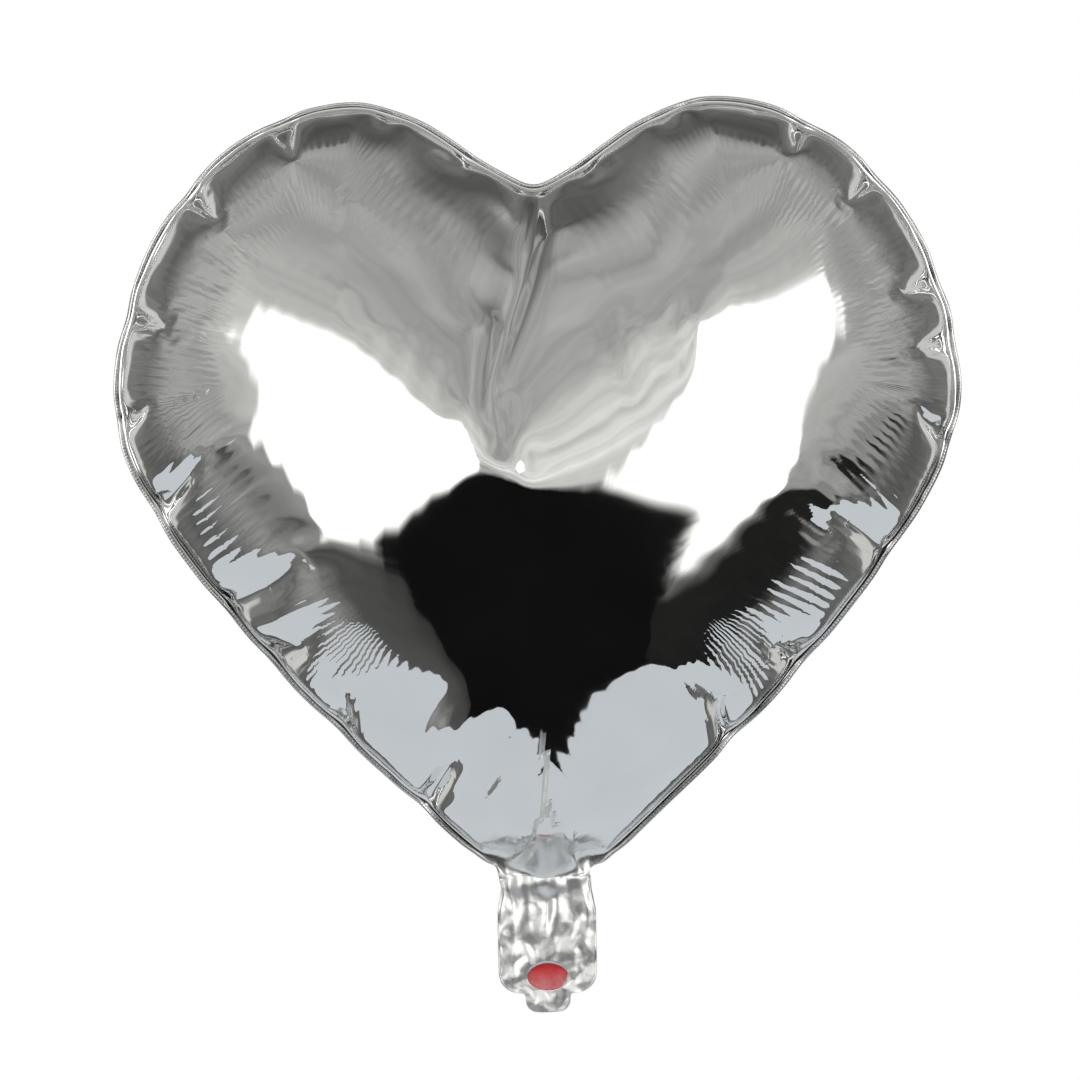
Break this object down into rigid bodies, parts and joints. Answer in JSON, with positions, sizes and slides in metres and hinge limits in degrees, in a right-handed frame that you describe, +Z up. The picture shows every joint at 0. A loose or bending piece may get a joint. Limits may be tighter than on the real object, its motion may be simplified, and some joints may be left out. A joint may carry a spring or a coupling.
{
  "type": "foil balloon",
  "caption": "Heart-shaped silver foil balloon, filled, with a flat foldable tail that holds a self-sealing film valve and its fill hole.",
  "frame": {"origin": "middle of the neck, on the line that the tail folds about, where a ribbon is tied", "axes": "+Z up from the neck through the heart, +X to the right as seen from the front, front of the heart towards -Y"},
  "size_m": [0.36, 0.184, 0.388],
  "materials": {
    "silver_foil": "mirror-bright vacuum-metallised film, puckered along its seal",
    "heat_seal": "crimped heat-sealed band of the same foil",
    "valve_film": "thin milky polythene film",
    "red_print": "red heat-resisting ink printed on film"
  },
  "bodies": {
    "heart": {"front_foil": "silver_foil", "back_foil": "silver_foil", "edge_seal": "heat_seal", "inner_valve_front_ply": "valve_film", "inner_valve_back_ply": "valve_film", "inner_valve_seal_left": "valve_film", "inner_valve_seal_right": "valve_film"},
    "tail": {"tail_front_foil": "silver_foil", "tail_back_foil": "silver_foil", "tail_seal_left": "heat_seal", "tail_seal_right": "heat_seal", "valve_front_ply": "valve_film", "valve_back_ply": "valve_film", "valve_seal_left": "valve_film", "valve_seal_right": "valve_film", "valve_red_print": "red_print"}
  },
  "joints": [
    {"name": "tail_fold", "type": "hinge", "parent": "heart", "child": "tail", "pos_m": [0, 0, 0], "axis": [1, 0, 0], "range_deg": [-110, 110]}
  ]
}
